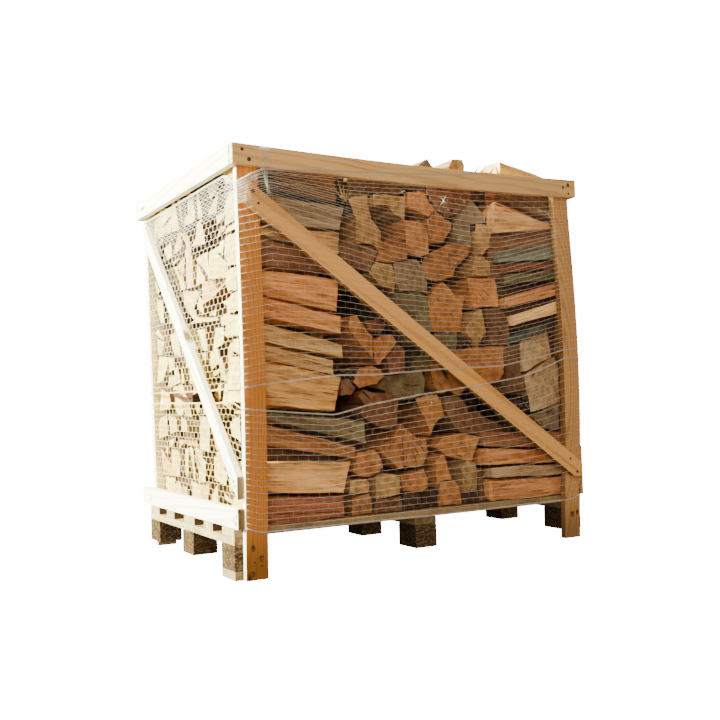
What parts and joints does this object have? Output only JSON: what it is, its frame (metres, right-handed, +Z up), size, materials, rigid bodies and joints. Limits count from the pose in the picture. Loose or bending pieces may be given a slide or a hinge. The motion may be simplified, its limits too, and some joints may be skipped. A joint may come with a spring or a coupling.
{
  "type": "pallet of firewood",
  "caption": "Low timber pallet with a nailed board crate around stacked split firewood, held by a knitted net, with fork entries on every side.",
  "frame": {"origin": "on the ground, in the middle of the whole outline", "axes": "+X along the long front to the right, +Y into the depth, +Z up; the front faces -Y"},
  "size_m": [1.248, 0.9222, 1.256],
  "materials": {
    "pine": "planed pine, warm orange-brown",
    "pale_pine": "planed pine, pale",
    "rail_pine": "planed pine, slightly weathered",
    "grey_wood": "rough sawn, weathered grey-brown",
    "chip_block": "rough speckled block",
    "pale_log": "split wood, pale tan",
    "orange_log": "split wood, orange-brown",
    "brown_log": "split wood and bark, dark red-brown",
    "grey_log": "split wood, grey-olive",
    "net": "thin white knitted cord"
  },
  "bodies": {
    "root": {"block_front_left": "chip_block", "block_middle_left": "chip_block", "block_back_left": "chip_block", "block_front_middle": "chip_block", "block_middle_middle": "chip_block", "block_back_middle": "chip_block", "block_front_right": "chip_block", "block_middle_right": "chip_block", "block_back_right": "chip_block", "stringer_left": "grey_wood", "stringer_middle": "grey_wood", "stringer_right": "grey_wood", "foot_pad": "grey_wood", "deck_board_1": "grey_wood", "deck_board_2": "grey_wood", "deck_board_3": "grey_wood", "deck_board_4": "grey_wood", "deck_board_5": "grey_wood", "post_front_left": "pine", "post_front_right": "pine", "post_back_left": "pine", "post_back_right": "pine", "rail_front": "rail_pine", "rail_back": "rail_pine", "rail_left": "rail_pine", "rail_right": "rail_pine", "brace_front": "pale_pine", "brace_back": "pale_pine", "brace_left": "pale_pine", "brace_right": "pale_pine", "side_board_left": "pale_pine", "side_board_right": "pale_pine", "log_left_1": "orange_log", "log_left_2": "pale_log", "log_left_3": "orange_log", "log_left_4": "grey_log", "log_left_5": "pale_log", "log_left_6": "orange_log", "log_left_7": "pale_log", "log_left_8": "orange_log", "log_left_9": "orange_log", "log_left_10": "brown_log", "log_left_11": "pale_log", "log_left_12": "brown_log", "log_right_1": "orange_log", "log_right_2": "grey_log", "log_right_3": "orange_log", "log_right_4": "brown_log", "log_right_5": "pale_log", "log_right_6": "orange_log", "log_right_7": "grey_log", "log_right_8": "pale_log", "log_right_9": "brown_log", "log_top": "pale_log", "firewood_left": "pale_log", "firewood_middle_front": "orange_log", "firewood_middle_rear": "orange_log", "firewood_right": "pale_log", "net_lower": "net", "net_upper": "net"}
  },
  "joints": []
}
